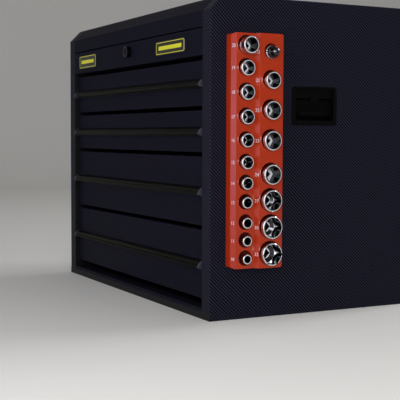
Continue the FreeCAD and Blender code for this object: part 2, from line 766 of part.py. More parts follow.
def make_pull(index):
    """Extruded finger pull: back plate and bowed shell with a groove, open underneath."""
    body = new_body(f"pull_body_{index}", ("0", "face_front", pull_height_of(index)))
    profile = new_sketch(body, f"pull_profile_{index}", "YZ_Plane", "-pull_half + cap_thick")
    wall = "pull_wall"
    outline(profile, [
        ("-pull_depth + pull_wall", "-pull_lip"),
        ("-pull_root", f"{PULL_TOP} - pull_root"),
        (f"-{wall}", PULL_BOTTOM),
        ("0", PULL_BOTTOM),
        ("0", PULL_TOP),
        ("-pull_brow", "groove_high"),
        ("groove_deep - pull_brow", "groove_high"),
        ("groove_deep - pull_brow", "groove_high - groove_wide"),
        ("-pull_brow - groove_step", "groove_high - groove_wide"),
        ("-pull_depth", "-pull_lip"),
    ], {4: "pull_bow", 8: "pull_bow"})
    pad(body, f"pull_length_{index}", profile, "2 * (pull_half - cap_thick)")
    return body


def make_caps(index):
    """Plastic end caps that close the pull's profile."""
    caps = []
    for name, start in (("right", "pull_half - cap_thick"), ("left", "-pull_half")):
        body = new_body(f"cap_{name}_{index}", ("0", "face_front", pull_height_of(index)))
        shape = new_sketch(body, f"cap_{name}_shape_{index}", "YZ_Plane", start)
        outline(shape, [
            ("0", f"{PULL_BOTTOM} - cap_rim"), ("0", f"{PULL_TOP} + cap_rim"),
            ("-pull_depth - cap_rim", "-pull_lip"),
        ], {1: "pull_bow", 2: "cap_bow"})
        pad(body, f"cap_{name}_block_{index}", shape, "cap_thick")
        caps.append(body)
    return group(f"caps_{index}", caps)


# Slide members nest in one another.  Each row gives a member's half height, the web's
# place and the lips' place, both counted from the liner towards the drawer.
def slide_section(member):
    steel = "slide_steel"
    nest = f"({steel} + slide_run)"
    half = "slide_height / 2"
    if member == "rail":
        return half, "0", steel, f"slide_space - {steel}"
    if member == "middle":
        return f"({half} - {nest})", f"2 * {steel}", f"3 * {steel}", f"slide_space - 2 * {steel}"
    return (f"({half} - 2 * {nest})", "slide_space", f"slide_space - {steel}",
            f"3 * {steel} + 2 * slide_run")


def make_member(member, index, side):
    """One channel of a slide on the right (+1) or left (-1) wall."""
    half, web_from, web_to, lip_to = slide_section(member)
    name = f"{member}_{index}_{'right' if side > 0 else 'left'}"
    body = new_body(name, ("0", "box_front + slide_run", f"low_{index} + face_{index} / 2"))
    section = new_sketch(body, f"{name}_section", "XZ_Plane")
    steel = "slide_steel"

    def across(depth):
        return f"{side} * (opening - ({depth}))"

    corners = [
        (across(web_from), f"-{half}"), (across(web_from), half),
        (across(lip_to), half), (across(lip_to), f"{half} - {steel}"),
        (across(web_to), f"{half} - {steel}"), (across(web_to), f"-{half} + {steel}"),
        (across(lip_to), f"-{half} + {steel}"), (across(lip_to), f"-{half}"),
    ]
    outline(section, corners)
    pad(body, f"{name}_length", section, "slide_length", True)
    return body


def make_slides(member, index):
    return [make_member(member, index, side) for side in (1, -1)]


# ---------------------------------------------------------------------------
# Socket tray
# ---------------------------------------------------------------------------
def make_tray():
    """Two-level tray with slanting label faces and a round hole for each socket."""
    body = new_body("tray_mould", ("half_width", "tray_y", "tray_low"))
    shape = rounded(new_sketch(body, "tray_shape", "YZ_Plane"), ("0", "0"),
                    ("tray_width", "tray_length"), "tray_round")
    pad(body, "tray_block", shape, "deck_high")
    steps = new_sketch(body, "tray_steps", "XY_Plane")
    over = "deck_high + sheet"
    outline(steps, [
        ("wall_rise", "-sheet"), (over, "-sheet"), (over, "ramp_end"), ("deck_high", "ramp_end"),
        ("deck_low", "ramp_start"), ("deck_low", "label_run"), ("wall_rise", "0"),
    ])
    through(body, "tray_decks", steps)
    seats = new_sketch(body, "tray_seats", "YZ_Plane", "deck_high + sheet")
    for nut, place in SMALL_SEATS.items():
        circle(seats, ("small_column", place), hole_radius(nut))
    for nut, place in LARGE_SEATS.items():
        circle(seats, ("large_column", place), hole_radius(nut))
    circle(seats, ("large_column", "adapter_seat"), "adapter_hole")
    pocket(body, "tray_holes", seats, "deck_high + 2 * sheet")
    rebate = new_sketch(body, "base_rebate", "YZ_Plane")
    rounded(rebate, ("base_rim", "base_rim"), ("tray_width - base_rim", "tray_length - base_rim"),
            "tray_round - base_rim / 2")
    pocket(body, "base_recess", rebate, "base_plate", True)
    return body


def make_base():
    """Magnetic steel plate in the back of the tray."""
    body = new_body("base_body", ("half_width", "tray_y", "tray_low"))
    shape = rounded(new_sketch(body, "base_shape", "YZ_Plane"), ("base_rim", "base_rim"),
                    ("tray_width - base_rim", "tray_length - base_rim"),
                    "tray_round - base_rim / 2")
    pad(body, "base_block", shape, "base_plate")
    return body


def seat_place(column, seat):
    """Foot of a socket: it lies on the low side of its hole."""
    return ("half_width + base_plate + seat_gap", f"tray_y + {column}",
            f"tray_low + {seat} - seat_play + seat_gap")


def drive_hole(body, name, deep):
    """Square hole for the ratchet in a socket's foot, standing on its corner."""
    square = body.newObject("PartDesign::SubtractiveBox", name)
    bind(square, "Length", "drive_square")
    bind(square, "Width", "drive_square")
    bind(square, "Height", deep)
    square.Placement.Rotation = Rotation(Vector(0, 0, 1), 45)
    put(square, ("0", "-drive_square / sqrt(2)", "0"))


def make_socket(nut, column, seat, kind):
    """Socket with a square drive hole at its foot and a hexagon at its mouth."""
    length = f"{kind}_socket"
    body = new_body(f"socket_body_{nut}", seat_place(column, seat), "x")
    foot = f"{end_diameter(nut)} / 2"
    nose = f"mouth_{nut} / 2"
    half_section = new_sketch(body, f"socket_section_{nut}", "XZ_Plane")
    corners = [
        ("0", "0"), (f"{foot} - mouth_bevel", "0"), (foot, "mouth_bevel"), (foot, "drive_share"),
        (nose, "drive_share + shoulder"), (nose, f"{length} - mouth_bevel"),
        (f"{nose} - mouth_bevel", length), ("0", length),
    ]
    if number(foot) <= number(nose):
        del corners[3:5]
    outline(half_section, corners)
    revolve(body, f"socket_turned_{nut}", half_section)
    across = f"(hex_{nut} + hex_room)"
    hexagon = body.newObject("PartDesign::SubtractivePrism", f"hexagon_{nut}")
    hexagon.Polygon = 6
    coned = number(across) > number("cone_from")
    floor = f"({length} - hex_deep)" if coned else f"drive_{kind}"
    bind(hexagon, "Circumradius", f"{across} / sqrt(3)")
    bind(hexagon, "Height", f"{length} - {floor} + hex_lead")
    hexagon.Placement.Rotation = Rotation(Vector(0, 0, 1), 90)
    put(hexagon, ("0", "0", floor))
    lead = body.newObject("PartDesign::SubtractiveCone", f"lead_{nut}")
    bind(lead, "Radius1", f"{across} / 2")
    bind(lead, "Radius2", f"{across} / 2 + hex_lead")
    bind(lead, "Height", "hex_lead")
    put(lead, ("0", "0", f"{length} - 0.5 * hex_lead"))
    drive_hole(body, f"drive_{nut}", f"drive_{kind}")
    if coned:
        cone = body.newObject("PartDesign::SubtractiveCone", f"cone_{nut}")
        bind(cone, "Radius1", "drive_square / sqrt(2)")
        bind(cone, "Radius2", f"{across} / 2")
        bind(cone, "Height", f"{floor} - drive_{kind}")
        put(cone, ("0", "0", f"drive_{kind}"))
    return body


def make_adapter():
    """Stepped adapter: square drive hole below, round neck and tip above."""
    body = new_body("adapter_body", seat_place("large_column", "adapter_seat"), "x")
    foot = "drive_end / 2"
    half_section = new_sketch(body, "adapter_section", "XZ_Plane")
    outline(half_section, [
        ("0", "0"), (f"{foot} - mouth_bevel", "0"), (foot, "mouth_bevel"),
        (foot, "adapter_ring - 3 * shoulder"), ("adapter_neck", "adapter_ring - 2 * shoulder"),
        ("adapter_neck", "adapter_ring - mouth_bevel"),
        ("adapter_neck - mouth_bevel", "adapter_ring"), ("adapter_tip", "adapter_ring"),
        ("adapter_tip", "adapter_length - shoulder"),
        ("adapter_dimple", "adapter_length"), ("adapter_dimple", "adapter_length - shoulder"),
        ("0", "adapter_length - shoulder"),
    ])
    revolve(body, "adapter_turned", half_section)
    drive_hole(body, "adapter_drive", "drive_short")
    return body


# ---------------------------------------------------------------------------
# Assembly
# ---------------------------------------------------------------------------
side = make_side()
node(side, "side_right")
node(mirrored("side_copy", side), "side_left")
liner = make_liner()
node(group("liners", [liner, mirrored("liner_copy", liner)]), "side_liners")
node(make_floor(), "floor_panel")
node(make_rail(), "bottom_rail")
node(make_header(), "header")
node(make_back(), "back_panel")
node(make_till(), "till_floor")
node(make_lid(), "lid")
case_leaf, lid_leaf = make_hinge()
node(case_leaf, "hinge_case_leaf")
node(lid_leaf, "hinge_lid_leaf")
collar, barrel = make_lock()
node(collar, "lock_collar")
node(barrel, "lock_barrel")
pan = make_handle_pan()
node(pan, "handle_pan_right")
node(mirrored("pan_copy", pan), "handle_pan_left")
grip = make_grip()
node(grip, "grip_right")
node(mirrored("grip_copy", grip), "grip_left")
DRAWERS = (1, 2, 3, 4)
rails = []
for index in DRAWERS:
    rails += make_slides("rail", index)
    node(make_drawer(index), f"drawer_{index}")
    node(make_pull(index), f"pull_{index}")
    node(make_caps(index), f"pull_caps_{index}")
    node(group(f"middles_{index}", make_slides("middle", index)), f"slide_middle_{index}")
    node(group(f"inners_{index}", make_slides("inner", index)), f"slide_inner_{index}")
node(group("rails", rails), "slide_rails")
node(make_tray(), "tray_shell")
node(make_base(), "tray_base")
for nut, place in SMALL_SEATS.items():
    kind = "long" if nut == "20" else "short"
    node(make_socket(nut, "small_column", place, kind), f"socket_{nut}")
for nut, place in LARGE_SEATS.items():
    node(make_socket(nut, "large_column", place, "long"), f"socket_{nut}")
node(make_adapter(), "socket_adapter")

# ---------------------------------------------------------------------------
# Check and export
# ---------------------------------------------------------------------------
doc.recompute()
for thing in doc.Objects:
    if "Invalid" in thing.State or "Error" in thing.State:
        raise RuntimeError(f"{thing.Name} failed: {thing.State}")
for thing in NODES:
    if thing.Shape.isNull() or not thing.Shape.isValid() or not thing.Shape.Solids:
        raise RuntimeError(f"{thing.Label} has no valid solid")
os.makedirs("parts", exist_ok=True)
for thing in NODES:
    thing.Shape.exportStep(f"parts/{thing.Label}.step")
print(f"{len(NODES)} sub-parts written")
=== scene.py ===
"""Looks of a drawer top chest that carries a magnetic socket tray on its right side.

Metres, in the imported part's own frame: the origin is the middle of the underside, +Z is
up, the drawers open towards -Y and the tray hangs on the +X side.
"""

import bmesh
import bpy
import numpy as np
from bpy.props import FloatProperty, PointerProperty, StringProperty
from mathutils import Euler, Matrix, Vector


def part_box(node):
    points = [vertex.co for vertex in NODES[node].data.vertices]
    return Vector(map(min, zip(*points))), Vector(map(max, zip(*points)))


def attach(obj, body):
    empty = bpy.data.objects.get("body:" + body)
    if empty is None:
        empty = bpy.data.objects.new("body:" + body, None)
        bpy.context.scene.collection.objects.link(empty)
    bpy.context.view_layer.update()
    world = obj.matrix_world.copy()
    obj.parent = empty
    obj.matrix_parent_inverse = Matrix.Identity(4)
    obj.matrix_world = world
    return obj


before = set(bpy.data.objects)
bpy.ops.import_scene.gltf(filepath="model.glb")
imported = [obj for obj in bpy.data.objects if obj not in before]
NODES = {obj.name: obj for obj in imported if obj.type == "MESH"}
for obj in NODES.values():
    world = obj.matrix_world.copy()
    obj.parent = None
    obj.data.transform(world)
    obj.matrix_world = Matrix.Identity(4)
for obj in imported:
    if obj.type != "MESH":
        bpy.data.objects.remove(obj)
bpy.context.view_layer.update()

bl_info = {
    "name": "Drawer chest with socket tray",
    "version": (1, 0, 0),
    "blender": (4, 5, 0),
    "location": "3D View > Sidebar > Drawer chest",
    "description": "Finishes a drawer top chest and the socket tray on its side",
    "category": "Object",
}

MM = 0.001
DRAWERS = (1, 2, 3, 4)
SOCKETS = sorted(name for name in NODES if name.startswith("socket_") and name[7:].isdigit())
ADAPTER = "socket_adapter"

# Where the skins lie, read from the frame: the film covers what lies outside these.
SIDE_LOW, SIDE_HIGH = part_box("side_right")
HEADER_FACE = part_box("header")[0].y
DRAWER_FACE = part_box("drawer_1")[0].y
BEND = 1.9 * MM
FACE_THICK = 12.2 * MM
# Height minus depth coordinate is the same all over the bevel: its leg off the top front edge.
BEVEL_LEG = 23.5 * MM
BEVEL_SUM = SIDE_HIGH.z - SIDE_LOW.y - BEVEL_LEG

# The film: its paint's colour and roughness behind the skin, the shares of the normal from which
# a face counts as one across, a flat one or one that looks up, how many yarns there are to a
# light one, a yarn's shade in its gap and on its crown, the embossing's depth and strength, and
# how much of the sides' shine the fronts have.
BACKING, BACKING_ROUGH = "17171a", 0.55
ACROSS_FROM, FLAT_FROM, UP_FROM = 0.6, 0.8, -0.2
YARNS_TO_LIGHT = 3.0
GAP_SHADE, CROWN_SHADE = 0.1, 1.15
EMBOSSED, EMBOSS_STRENGTH = 0.12 * MM, 0.6
FRONT_SHINE = 0.3

# Each badge's left, right, lower and upper edge on the lock rail, in millimetres, and its make-up.
BADGES = (("right", 125, 242.3, 456.5, 481), ("left", -273.5, -177.5, 455.5, 483))
BADGE_THICK, BADGE_CORNER = 1.2 * MM, 3 * MM
LINE_INSET, LINE_CORNER, LINE_WIDE = 1.6 * MM, 2.2 * MM, 1.1 * MM
BAR_INSET, BAR_HALF_TALL, BAR_CORNER = 12 * MM, 3.6 * MM, 1.2 * MM
PRINT_THICK, PRINT_SOFT, PLATE_SOFT = 0.2 * MM, 0.1 * MM, 0.35 * MM

# The numbers lie on two slopes of the tray: a point on each, from the tray's own low corner, and
# the way up the slope as run along X and Y in millimetres.
TRAY_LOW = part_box("tray_shell")[0]
LOW_SLOPE, LOW_RUN = (21 * MM, 1.9 * MM), (12, 3.8, 0)
RAMP_START = TRAY_LOW.y + 39.0 * MM
HIGH_SLOPE, HIGH_RUN = (31.25 * MM, 2.45 * MM), (8.5, 4.9, 0)
SMALL_REACH = 20 * MM
FIGURE_TALL, FIGURE_PROUD = 5.6 * MM, 0.12 * MM

# Sockets: the rim's share of satin with a pale painted highlight, the share of the normal from
# which a face is square to the axis, roughness and metallic from chrome to satin, the lip's width,
# the soft edge of the painted shade inside the lip, how flat the mouth is, how deep its walls go
# before the floor with its pale painted highlight, and the knurled band, which starts farther up a
# long socket.
RIM_SATIN_AND_HIGHLIGHT, SQUARE_FROM = 0.6, 0.95
CHROME_ROUGH, SATIN_ROUGH = 0.12, 0.5
CHROME_METAL, SATIN_METAL = 1.0, 0.05
LIP_WIDE, LEAD_IN = 0.7 * MM, 0.5 * MM
MOUTH_FLAT = 0.05 * MM
FLOOR_DEEP = 6 * MM
SHORT_SOCKET, SHORT_START, LONG_START = 40 * MM, 7 * MM, 22 * MM
BAND_LONG, RIDGES_PER_MM, RIDGE_PROUD, BAND_WALL = 7 * MM, 3.2, 0.2 * MM, 0.4 * MM
BAND_ROWS, BAND_FADE = 11, 0.12

# The stage: lamps with place and size in metres, power in watts and colour; the point that they
# look at; and the camera's place, turned by yaw, pitch and roll in radians.
LAMPS = (
    ("key", (1.1, -1.35, 0.7), (1.5, 1.5), 12, "ffffff"),
    ("fill", (2.0, -0.9, 0.65), (0.6, 0.6), 16, "ffffff"),
    ("sheen", (-0.2, -2.5, 0.34), (1.0, 0.66), 10.5, "d8d0ff"),
    ("back", (0.2, 2.9, 2.2), (1.8, 1.4), 60, "ffffff"),
)
AIM = (0, 0, 0.25)
AMBIENT = 0.3
EYE = (1.77886, -0.96917, 0.31098)
YAW, PITCH, ROLL = 1.09363, -0.06516, 0.00348
WALL_BEND, WALL_TOP, FLOOR_STEPS = 1.5, 5.0, 96

# Points on each corner of a rounded rectangle, and on the whole of it.
LOOP_STEPS = 6
LOOP_POINTS = 4 * LOOP_STEPS
MERGE_WITHIN = 0.01 * MM
METAL_GRAIN = 0.01 * MM


# ---------------------------------------------------------------------------
# Colour and nodes
# ---------------------------------------------------------------------------
def linear(code):
    """Turns an sRGB hex colour into linear light: the power curve above 0.04, a line below."""
    part = np.array([int(code[i:i + 2], 16) for i in (0, 2, 4)]) / 255
    light = np.where(part <= 0.04045, part / 12.92, ((part + 0.055) / 1.055) ** 2.4)
    return (*light.tolist(), 1.0)


def add(tree, kind, feeds=None, **settings):
    """Adds one node: settings are its properties, and feeds fills its inputs with values or links."""
    made = tree.nodes.new("ShaderNode" + kind)
    for name, value in settings.items():
        setattr(made, name, value)
    for key, value in (feeds or {}).items():
        source = value.outputs[0] if isinstance(value, bpy.types.Node) else value
        if isinstance(source, bpy.types.NodeSocket):
            tree.links.new(source, made.inputs[key])
        else:
            made.inputs[key].default_value = source
    return made


# Where a Mix node of colours has its two inputs and its result.
MIX_A, MIX_B, MIX_RESULT = 6, 7, 2


def new_material(name, **finish):
    """A material with one principled shader; finish gives the values of its sockets."""
    made = bpy.data.materials.new(name)
    made.use_nodes = True
    tree = made.node_tree
    tree.nodes.clear()
    shader = add(tree, "BsdfPrincipled", {key.replace("_", " "): value for key, value in finish.items()})
    add(tree, "OutputMaterial", {"Surface": shader})
    return made, tree, shader


def feed(tree, shader, **sources):
    """Leads nodes or sockets into the shader's sockets."""
    for key, value in sources.items():
        source = value.outputs[0] if isinstance(value, bpy.types.Node) else value
        tree.links.new(source, shader.inputs[key.replace("_", " ")])


def grain(tree, shader, size, depth, stretch=(1, 1, 1)):
    """Raises a fine noise of the given grain size, in metres, as bump. The finest grains are drawn
    a few tenths of a millimetre wide, coarser than they are, or they would not show."""
    place = add(tree, "TexCoord").outputs["Object"]
    scaled = add(tree, "Mapping", {"Vector": place, "Scale": tuple(s / size for s in stretch)})
    noise = add(tree, "TexNoise", {"Vector": scaled, "Scale": 1.0, "Detail": 3.0, "Roughness": 0.6})
    bump = add(tree, "Bump", {"Height": noise.outputs["Fac"], "Distance": depth, "Strength": 1.0})
    feed(tree, shader, Normal=bump)
    return noise


def blotched(tree, noise, dark, light):
    """A colour that wanders between two tones with the noise."""
    return add(tree, "Mix", {0: noise.outputs["Fac"], MIX_A: linear(dark), MIX_B: linear(light)},
               data_type="RGBA").outputs[MIX_RESULT]


def finish_nodes(material, *names):
    """Gives CAD nodes a material on their objects' own slots, so the meshes stay as they are."""
    for name in names:
        for held in NODES[name].material_slots:
            held.link = "OBJECT"
            held.material = material


# ---------------------------------------------------------------------------
# Surfaces
# ---------------------------------------------------------------------------
def grid_faces(rows, columns, close_rows=False):
    """Quads between neighbours of a grid whose columns close into rings; its rows may close too."""
    row = np.arange(rows if close_rows else rows - 1)[:, None]
    column = np.arange(columns)[None]
    next_row, next_column = (row + 1) % rows, (column + 1) % columns
    corners = np.stack(np.broadcast_arrays(
        row * columns + column, row * columns + next_column,
        next_row * columns + next_column, next_row * columns + column), -1)
    return corners.reshape(-1, 4).tolist()


def make_piece(name, points, faces, material, body, smooth=True):
    """Puts computed points and faces into a mesh object at the origin that rides on a body."""
    mesh = bpy.data.meshes.new(name)
    mesh.from_pydata(np.asarray(points, float).reshape(-1, 3), [], faces)
    mesh.polygons.foreach_set("use_smooth", [smooth] * len(mesh.polygons))
    mesh.materials.append(material)
    made = bpy.data.objects.new(name, mesh)
    bpy.context.scene.collection.objects.link(made)
    if body:
        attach(made, body)
    return made


def rounded_loop(half_wide, half_tall, corner):
    """Rounded rectangle, anticlockwise: a quarter circle about each of its four corner centres."""
    turn = np.linspace(0, np.pi / 2, LOOP_STEPS)[None] + np.arange(4)[:, None] * np.pi / 2
    signs = np.array([[1, 1], [-1, 1], [-1, -1], [1, -1]])[:, None]
    centres = signs * (np.array([half_wide, half_tall]) - corner)
    return (centres + corner * np.stack([np.cos(turn), np.sin(turn)], -1)).reshape(-1, 2)


def on_front(flat, height, middle):
    """Lays flat (u, v) points on a front face: middle + u along X + v along Z - height along Y."""
    u, v = np.asarray(flat).T
    return np.asarray(middle) + np.stack([u, -np.asarray(height), v], -1)


def plaque(name, middle, half_wide, half_tall, corner, thick, material, body, soft=PLATE_SOFT):
    """Flat plate with a softened rim: rounded rectangles that draw in as they rise, capped at both
    ends."""
    steps = [(0, 0), (0, thick - soft), (0.3 * soft, thick - 0.3 * soft), (soft, thick)]
    rows = [on_front(rounded_loop(half_wide - inset, half_tall - inset, corner - 0.6 * inset),
                    np.full(LOOP_POINTS, rise), middle) for inset, rise in steps]
    points = np.concatenate(rows)
    faces = grid_faces(len(rows), LOOP_POINTS)
    faces += [list(range(LOOP_POINTS - 1, -1, -1)), list(range(len(points) - LOOP_POINTS, len(points)))]
    return make_piece(name, points, faces, material, body, smooth=False)


def frame_band(name, middle, half_wide, half_tall, corner, wide, thick, material, body):
    """Raised outline: a small rectangular profile carried round a rounded rectangle and closed on
    itself."""
    profile = [(0, 0), (0, thick), (wide, thick), (wide, 0)]
    rows = [on_front(rounded_loop(half_wide - inset, half_tall - inset, corner - 0.8 * inset),
                    np.full(LOOP_POINTS, rise), middle) for inset, rise in profile]
    return make_piece(name, np.concatenate(rows), grid_faces(4, LOOP_POINTS, close_rows=True),
                      material, body, smooth=False)


def knurled_ring(name, foot, radius, start, length, ridges, proud, material, body):
    """Diamond knurl round an axis along X: the radius grows by the product of two sines of the
    turn that wind opposite ways along the band, and by less and less towards both its ends."""
    columns, rows = 6 * ridges // 2, BAND_ROWS
    turn = np.linspace(0, 2 * np.pi, columns, endpoint=False)[None]
    along = np.linspace(0, length, rows)[:, None]
    wind = ridges / radius / 2
    turns = ridges / 2 * turn
    wave = np.abs(np.sin(turns + wind * along) * np.sin(turns - wind * along))
    fade = np.minimum(1, np.minimum(along, length - along) / (BAND_FADE * length))
    reach = radius + proud * wave * fade
    inner = np.full((1, columns), radius - BAND_WALL)
    reach = np.concatenate([reach, inner, inner])
    along = np.concatenate([along, [[length]], [[0]]])
    points = np.stack([foot[0] + start + along + 0 * reach,
                       foot[1] + reach * np.cos(turn), foot[2] + reach * np.sin(turn)], -1)
    faces = grid_faces(rows + 2, columns, close_rows=True)
    return make_piece(name, points, faces, material, body)


def digits(name, marks, tall, raised, material, body):
    """Raised figures: each text is scaled to its height, turned to its face's axes and merged into
    one mesh."""
    joined = bmesh.new()
    for text, middle, right, up in marks:
        # Any extrusion will do, because the figure is scaled to its height and thickness below.
        curve = bpy.data.curves.new(name, "FONT")
        curve.body, curve.extrude, curve.resolution_u = text, 0.05, 3
        letter = bpy.data.objects.new(name, curve)
        mesh = bpy.data.meshes.new_from_object(letter)
        points = np.empty(3 * len(mesh.vertices))
        mesh.vertices.foreach_get("co", points)
        points = points.reshape(-1, 3)
        low, high = points.min(0), points.max(0)
        size = tall / (high[1] - low[1])
        right, up = Vector(right).normalized(), Vector(up)
        turn = Matrix((right, up, right.cross(up))).transposed().to_4x4()
        middle_foot = Vector(((low[0] + high[0]) / 2, (low[1] + high[1]) / 2, low[2]))
        centre = Matrix.Translation(-middle_foot)
        scale = Matrix.Diagonal((size, size, raised / (high[2] - low[2]), 1))
        mesh.transform(Matrix.Translation(middle) @ turn @ scale @ centre)
        joined.from_mesh(mesh)
        bpy.data.objects.remove(letter)
        bpy.data.meshes.remove(mesh)
    bmesh.ops.remove_doubles(joined, verts=joined.verts, dist=MERGE_WITHIN)
    final = bpy.data.meshes.new(name)
    joined.to_mesh(final)
    joined.free()
    final.materials.append(material)
    made = bpy.data.objects.new(name, final)
    bpy.context.scene.collection.objects.link(made)
    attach(made, body)
    return made


# ---------------------------------------------------------------------------
# Finishes
# ---------------------------------------------------------------------------
def film_material(name, settings, shine, painted_front_shade=1.0):
    """Steel sheet laminated with PVC film, printed and embossed as a woven twill: one yarn in three
    is light and a little glossier, and the next row's light yarn stands one yarn to the side, so
    thin diagonals of short dashes run over every face. The yarns are drawn 2 mm wide, coarser
    than the film's own, or they would be lost. Painted shade darkens the yarns on every face not
    turned along X to the fronts' share. Behind the outer skin the sheet has its paint."""
    made, tree, shader = new_material(name, IOR=1.5, Specular_IOR_Level=shine)
    texture = add(tree, "TexCoord")
    place = add(tree, "SeparateXYZ", {0: texture.outputs["Object"]})
    facing = add(tree, "SeparateXYZ", {0: texture.outputs["Normal"]})
    x, y, z = place.outputs
    nx, _, nz = facing.outputs
    across = add(tree, "Math", {0: nx}, operation="ABSOLUTE")
    across = add(tree, "Math", {0: across, 1: ACROSS_FROM}, operation="GREATER_THAN")
    flat = add(tree, "Math", {0: nz}, operation="ABSOLUTE")
    flat = add(tree, "Math", {0: flat, 1: FLAT_FROM}, operation="GREATER_THAN")
    # Each face carries the weave in its own plane, so u and v are the two coordinates along it.
    u = add(tree, "Mix", {0: across, 2: x, 3: y}, data_type="FLOAT").outputs[0]
    v = add(tree, "Mix", {0: flat, 2: z, 3: y}, data_type="FLOAT").outputs[0]
    cells = [add(tree, "Math", {0: line, 1: size}, operation="DIVIDE")
             for line, size in ((u, settings.across), (v, settings.rising))]
    steps = [add(tree, "Math", {0: line}, operation="FLOOR") for line in cells]
    stair = add(tree, "Math", {0: steps[0], 1: steps[1]}, operation="ADD")
    stair = add(tree, "Math", {0: stair, 1: YARNS_TO_LIGHT}, operation="FLOORED_MODULO")
    warp = add(tree, "Math", {0: stair, 1: 0.5}, operation="LESS_THAN")
    rounds = []
    for line in cells:
        share = add(tree, "Math", {0: line}, operation="FRACT")
        share = add(tree, "Math", {0: share, 1: np.pi}, operation="MULTIPLY")
        rounds.append(add(tree, "Math", {0: share}, operation="SINE"))
    crown = add(tree, "Mix", {0: warp, 2: rounds[1], 3: rounds[0]}, data_type="FLOAT").outputs[0]
    dark, light = linear(settings.yarn_dark), linear(settings.yarn_light)
    yarn = add(tree, "Mix", {0: warp, MIX_A: dark, MIX_B: light}, data_type="RGBA").outputs[MIX_RESULT]
    # Painted shade: faces not turned along X keep only the fronts' share of the yarns' colour.
    tone = add(tree, "MapRange", {0: across, 1: 0.0, 2: 1.0, 3: painted_front_shade, 4: 1.0})
    shade = add(tree, "MapRange", {0: crown, 1: 0.0, 2: 1.0, 3: GAP_SHADE, 4: CROWN_SHADE})
    shade = add(tree, "Math", {0: shade, 1: tone}, operation="MULTIPLY")
    yarn = add(tree, "VectorMath", {0: yarn, "Scale": shade}, operation="SCALE")
    # The skin is whatever lies on the front, on the sides, or on the top or the bevel and faces up.
    front = add(tree, "Math", {0: y, 1: DRAWER_FACE + FACE_THICK}, operation="LESS_THAN")
    width = add(tree, "Math", {0: x}, operation="ABSOLUTE")
    sides = add(tree, "Math", {0: width, 1: SIDE_HIGH.x - BEND}, operation="GREATER_THAN")
    roof = add(tree, "Math", {0: z, 1: SIDE_HIGH.z - BEND}, operation="GREATER_THAN")
    leaning = add(tree, "Math", {0: z, 1: y}, operation="SUBTRACT")
    bevel = add(tree, "Math", {0: leaning, 1: BEVEL_SUM - 2 * BEND}, operation="GREATER_THAN")
    top = add(tree, "Math", {0: roof, 1: bevel}, operation="MAXIMUM")
    upward = add(tree, "Math", {0: nz, 1: UP_FROM}, operation="GREATER_THAN")
    top = add(tree, "Math", {0: top, 1: upward}, operation="MULTIPLY")
    skin = add(tree, "Math", {0: front, 1: sides}, operation="MAXIMUM")
    skin = add(tree, "Math", {0: skin, 1: top}, operation="MAXIMUM")
    colour = add(tree, "Mix", {0: skin, MIX_A: linear(BACKING), MIX_B: yarn}, data_type="RGBA")
    gloss = add(tree, "MapRange",
                {0: warp, 1: 0.0, 2: 1.0, 3: settings.rough_dark, 4: settings.rough_light})
    rough = add(tree, "Mix", {0: skin, 2: BACKING_ROUGH, 3: gloss}, data_type="FLOAT").outputs[0]
    relief = add(tree, "Math", {0: crown, 1: skin}, operation="MULTIPLY")
    bump = add(tree, "Bump", {"Height": relief, "Distance": EMBOSSED, "Strength": EMBOSS_STRENGTH})
    feed(tree, shader, Base_Color=colour.outputs[MIX_RESULT], Roughness=rough, Normal=bump)
    return made


def paint_material(name, dark, light, rough, size, depth, shine):
    """Powder coat: fine orange-peel relief and a colour that wanders slightly."""
    made, tree, shader = new_material(name, Roughness=rough, IOR=1.5, Specular_IOR_Level=shine)
    noise = grain(tree, shader, size, depth)
    feed(tree, shader, Base_Color=blotched(tree, noise, dark, light))
    return made


def metal_material(name, dark, light, rough, stretch, size, metallic=1.0, shine=0.5):
    """Metal with a directional grain: noise drawn out along the working direction."""
    made, tree, shader = new_material(name, Roughness=rough, Metallic=metallic,
                                      Specular_IOR_Level=shine)
    noise = grain(tree, shader, size, METAL_GRAIN, stretch)
    feed(tree, shader, Base_Color=blotched(tree, noise, dark, light))
    return made


def plastic_material(name, dark, light, rough, size, depth, shine=0.5):
    """Moulded plastic: even colour, a fine eroded grain from the mould."""
    made, tree, shader = new_material(name, Roughness=rough, IOR=1.49, Specular_IOR_Level=shine)
    noise = grain(tree, shader, size, depth)
    feed(tree, shader, Base_Color=blotched(tree, noise, dark, light))
    return made


